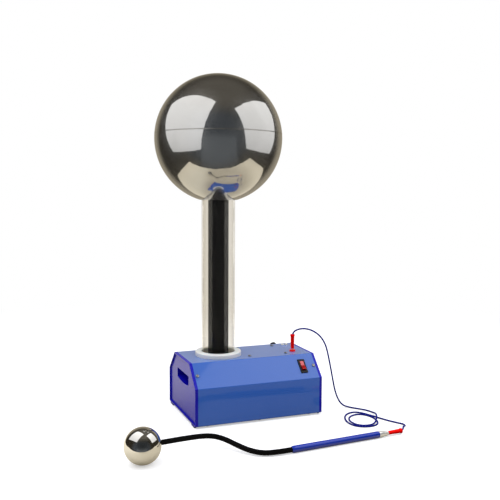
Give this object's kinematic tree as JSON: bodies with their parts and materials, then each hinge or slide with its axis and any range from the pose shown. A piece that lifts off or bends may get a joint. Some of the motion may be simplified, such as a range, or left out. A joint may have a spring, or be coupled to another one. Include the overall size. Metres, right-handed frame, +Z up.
{
  "type": "van de graaff generator",
  "caption": "Table-top electrostatic generator: motor housing, clear belt column and polished lift-off sphere, with a discharge wand on a test lead.",
  "frame": {"origin": "middle of the rectangle of table that the generator and its wand cover, on the table's surface", "axes": "X along the housing from the column's end to the switch's end, Y from front to back, Z up"},
  "size_m": [0.5732, 0.4184, 0.7114],
  "materials": {
    "painted_cover": "satin blue powder coat",
    "cap_plastic": "glossy ultramarine moulding",
    "foot_rubber": "matt black",
    "zinc_steel": "zinc plated",
    "turned_steel": "ground",
    "plated_stud": "bright plated",
    "white_nylon": "turned white nylon",
    "clear_acrylic": "clear polished tube",
    "belt_rubber": "smooth black rubber",
    "roller_metal": "turned",
    "roller_plastic": "turned acetal",
    "bush_bronze": "sintered bronze",
    "comb_brass": "cut strip",
    "bar_plastic": "black insulating bar",
    "sphere_steel": "spun and polished",
    "board_resin": "circuit board",
    "socket_red": "red moulding",
    "black_moulding": "black moulding",
    "rocker_red": "clear red moulding",
    "pot_metal": "pressed can",
    "plug_red": "soft red moulding",
    "lead_blue": "soft dark blue sheath",
    "neck_black": "black ribbed sheath",
    "handle_blue": "glossy blue moulding"
  },
  "bodies": {
    "stand": {"base_plate": "zinc_steel", "base_screws": "zinc_steel", "belt": "belt_rubber", "board_angle": "roller_metal", "bracket_screws": "zinc_steel", "collar": "white_nylon", "collar_nut": "white_nylon", "collector_strap": "comb_brass", "column_tube": "clear_acrylic", "comb_bar": "bar_plastic", "control_board": "board_resin", "cover": "painted_cover", "cover_screws": "zinc_steel", "dome_studs": "plated_stud", "earth_socket": "socket_red", "earth_socket_nut": "comb_brass", "end_cap_left": "cap_plastic", "end_cap_right": "cap_plastic", "hanger_screws": "zinc_steel", "inlet_pins": "comb_brass", "lead_coil": "lead_blue", "lead_run_a": "lead_blue", "lead_run_b": "lead_blue", "locating_ring": "sphere_steel", "lower_bushes": "bush_bronze", "lower_comb": "comb_brass", "lower_shell": "sphere_steel", "mains_inlet": "black_moulding", "motor_bell": "roller_metal", "motor_can": "zinc_steel", "motor_field": "turned_steel", "motor_hanger": "zinc_steel", "motor_screws": "zinc_steel", "neck_clamp": "zinc_steel", "plug_a_pin": "plated_stud", "plug_a_sleeve": "plug_red", "plug_b_pin": "plated_stud", "plug_b_sleeve": "plug_red", "potentiometer": "pot_metal", "roller_bracket": "zinc_steel", "rubber_feet": "foot_rubber", "switch_body": "black_moulding", "switch_tabs": "comb_brass", "upper_axle": "turned_steel", "upper_comb": "comb_brass", "upper_frame": "white_nylon", "wand_ball": "sphere_steel", "wand_ferrule": "plated_stud", "wand_handle": "handle_blue", "wand_neck": "neck_black"},
    "dome": {"upper_shell": "sphere_steel"},
    "drive": {"lower_roller": "roller_metal", "lower_shaft": "turned_steel", "shaft_coupling": "roller_metal", "motor_armature": "turned_steel"},
    "head_roller": {"upper_roller": "roller_plastic", "upper_bearings": "turned_steel"},
    "rocker": {"switch_rocker": "rocker_red"},
    "knob": {"speed_knob": "black_moulding", "pot_spindle": "pot_metal"}
  },
  "joints": [
    {"name": "dome_lift", "type": "slide", "parent": "stand", "child": "dome", "axis": [0, 0, 1], "range_m": [0, 0.15]},
    {"name": "drive_spin", "type": "hinge", "parent": "stand", "child": "drive", "pos_m": [-0.00326, 0.07757, 0.062], "axis": [1, 0, 0], "continuous": true},
    {"name": "head_roller_spin", "type": "hinge", "parent": "stand", "child": "head_roller", "pos_m": [-0.00326, 0.07757, 0.572], "axis": [1, 0, 0], "continuous": true},
    {"name": "rocker_tilt", "type": "hinge", "parent": "stand", "child": "rocker", "pos_m": [0.15864, 0.00021, 0.102], "axis": [1, 0, 0], "range_deg": [0, 18]},
    {"name": "knob_turn", "type": "hinge", "parent": "stand", "child": "knob", "pos_m": [0.15714, 0.14887, 0.10811], "axis": [0, -0.7104, -0.7038], "range_deg": [0, 270]}
  ],
  "couplings": [
    {"joint": "head_roller_spin", "follows": "drive_spin", "ratio": 1}
  ]
}
